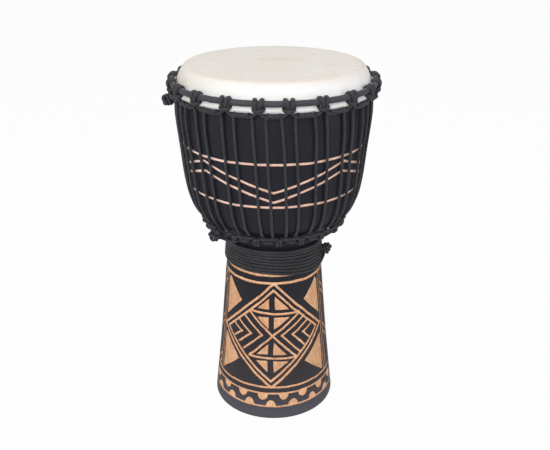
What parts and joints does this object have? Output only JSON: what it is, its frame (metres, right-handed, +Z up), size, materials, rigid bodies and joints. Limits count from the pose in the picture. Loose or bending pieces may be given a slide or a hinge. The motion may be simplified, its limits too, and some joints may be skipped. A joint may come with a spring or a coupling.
{
  "type": "djembe",
  "caption": "Free-standing goblet hand drum: hollow carved wooden shell and a hide head, held down by a crown ring and laced rope that pull down the shell to tune it.",
  "frame": {"origin": "centre of the foot's bottom face, on the drum's axis", "axes": "+Z up along the drum's axis, -Y towards the front, where the carved panel is"},
  "size_m": [0.3404, 0.3314, 0.6],
  "materials": {
    "painted_wood": "satin black paint, carved through to bare wood",
    "hide": "shaved goat hide, matt",
    "ring_steel": "bare steel rod",
    "ring_cloth": "tightly wound cotton strip",
    "rope": "braided polyester cord"
  },
  "bodies": {
    "shell": {"shell": "painted_wood", "bottom_ring": "ring_steel", "bottom_ring_wrap": "ring_cloth", "bottom_cradle_rope": "rope", "bottom_cradle_knot": "rope", "waist_rope": "rope", "waist_tie_knot": "rope", "tension_rope": "rope"},
    "head": {"drumhead_skin": "hide", "flesh_ring": "ring_steel", "crown_ring": "ring_steel", "crown_ring_wrap": "ring_cloth", "top_cradle_rope": "rope", "top_cradle_knot": "rope"}
  },
  "joints": [
    {"name": "head_tuning", "type": "slide", "parent": "shell", "child": "head", "axis": [0, 0, -1], "range_m": [-0.003, 0.008], "deforming": ["tension_rope", "drumhead_skin"]}
  ]
}
